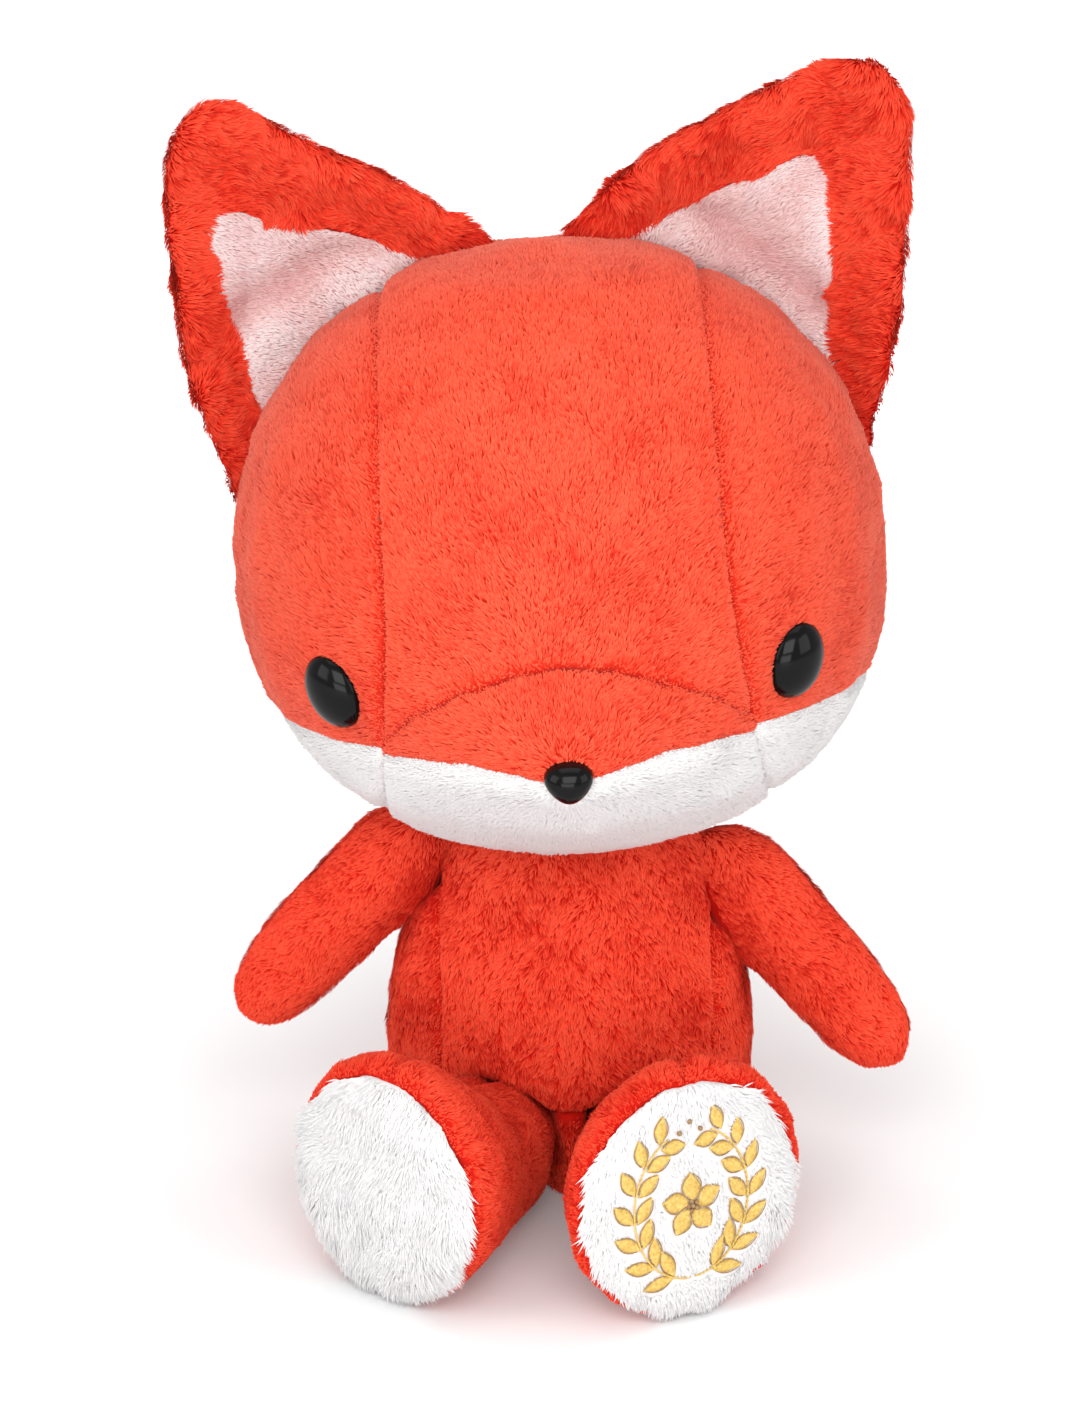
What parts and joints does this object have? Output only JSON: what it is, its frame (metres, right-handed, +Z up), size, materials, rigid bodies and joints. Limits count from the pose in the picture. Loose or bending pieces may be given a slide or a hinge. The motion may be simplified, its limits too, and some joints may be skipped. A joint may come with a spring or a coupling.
{
  "type": "plush fox",
  "caption": "Seated soft toy fox of short red, white and pink pile, with a large round head, big cupped ears, glossy eyes and nose, round-soled legs and a white-tipped tail.",
  "frame": {"origin": "on the floor, in the middle of the flat seat under the torso", "axes": "+Z up, -Y the way the fox faces, +X its own left side"},
  "size_m": [0.1775, 0.2052, 0.2742],
  "materials": {
    "red_pile": "short pile, brushed",
    "white_pile": "short pile, fluffy",
    "pink_pile": "short pile, smooth",
    "fibre": "loose polyester fibre",
    "black_gloss": "gloss",
    "clear_nylon": "natural nylon"
  },
  "bodies": {
    "arm_left": {"arm_back_left": "red_pile", "arm_front_left": "red_pile", "arm_stuffing_left": "fibre"},
    "arm_right": {"arm_back_right": "red_pile", "arm_front_right": "red_pile", "arm_stuffing_right": "fibre"},
    "head": {"back_panel_left": "red_pile", "back_panel_right": "red_pile", "cheek_panel_left": "white_pile", "cheek_panel_right": "white_pile", "chin_panel": "white_pile", "crown_panel": "red_pile", "eye_left": "black_gloss", "eye_left_washer": "clear_nylon", "eye_right": "black_gloss", "eye_right_washer": "clear_nylon", "head_stuffing": "fibre", "muzzle_panel": "red_pile", "nose": "black_gloss", "nose_washer": "clear_nylon", "side_panel_left": "red_pile", "side_panel_right": "red_pile"},
    "ear_left": {"ear_back_left": "red_pile", "ear_insert_left": "pink_pile", "ear_rim_left": "red_pile", "ear_stuffing_left": "fibre"},
    "ear_right": {"ear_back_right": "red_pile", "ear_insert_right": "pink_pile", "ear_rim_right": "red_pile", "ear_stuffing_right": "fibre"},
    "leg_left": {"leg_inner_left": "red_pile", "leg_outer_left": "red_pile", "leg_stuffing_left": "fibre", "sole_left": "white_pile"},
    "leg_right": {"leg_inner_right": "red_pile", "leg_outer_right": "red_pile", "leg_stuffing_right": "fibre", "sole_right": "white_pile"},
    "torso": {"seat_panel": "red_pile", "torso_back_panel": "red_pile", "torso_side_panel_left": "red_pile", "torso_side_panel_right": "red_pile", "torso_stuffing": "fibre", "tummy_panel": "red_pile"},
    "tail": {"tail_left": "red_pile", "tail_right": "red_pile", "tail_stuffing": "fibre", "tail_tip_left": "white_pile", "tail_tip_right": "white_pile"}
  },
  "joints": [
    {"name": "head_turn", "type": "hinge", "parent": "torso", "child": "head", "pos_m": [0.00249, -0.006, 0.0935], "axis": [-0.0732, 0, 0.9973], "range_deg": [-20, 20], "stiffness_Nm_per_rad": 0.15},
    {"name": "ear_fold_left", "type": "hinge", "parent": "head", "child": "ear_left", "pos_m": [0.03894, 0.008, 0.21391], "axis": [0.8137, 0, -0.5813], "range_deg": [-10, 10], "stiffness_Nm_per_rad": 0.03},
    {"name": "ear_fold_right", "type": "hinge", "parent": "head", "child": "ear_right", "pos_m": [-0.05189, 0.008, 0.20298], "axis": [-0.6798, 0, -0.7334], "range_deg": [-10, 10], "stiffness_Nm_per_rad": 0.03},
    {"name": "arm_raise_left", "type": "hinge", "parent": "torso", "child": "arm_left", "pos_m": [0.0415, -0.001, 0.0754], "axis": [0, -1, 0], "range_deg": [0, 55], "stiffness_Nm_per_rad": 0.03},
    {"name": "arm_raise_right", "type": "hinge", "parent": "torso", "child": "arm_right", "pos_m": [-0.0415, -0.001, 0.08178], "axis": [0, 1, 0], "range_deg": [0, 55], "stiffness_Nm_per_rad": 0.03},
    {"name": "leg_spread_left", "type": "hinge", "parent": "torso", "child": "leg_left", "pos_m": [0.0205, -0.033, 0.017], "axis": [0, 0, 1], "range_deg": [0, 25], "stiffness_Nm_per_rad": 0.08},
    {"name": "leg_spread_right", "type": "hinge", "parent": "torso", "child": "leg_right", "pos_m": [-0.0205, -0.033, 0.017], "axis": [0, 0, -1], "range_deg": [0, 25], "stiffness_Nm_per_rad": 0.08},
    {"name": "tail_swing", "type": "hinge", "parent": "torso", "child": "tail", "pos_m": [0, 0.036, 0.008], "axis": [0, 0, 1], "range_deg": [-25, 25], "stiffness_Nm_per_rad": 0.02}
  ]
}
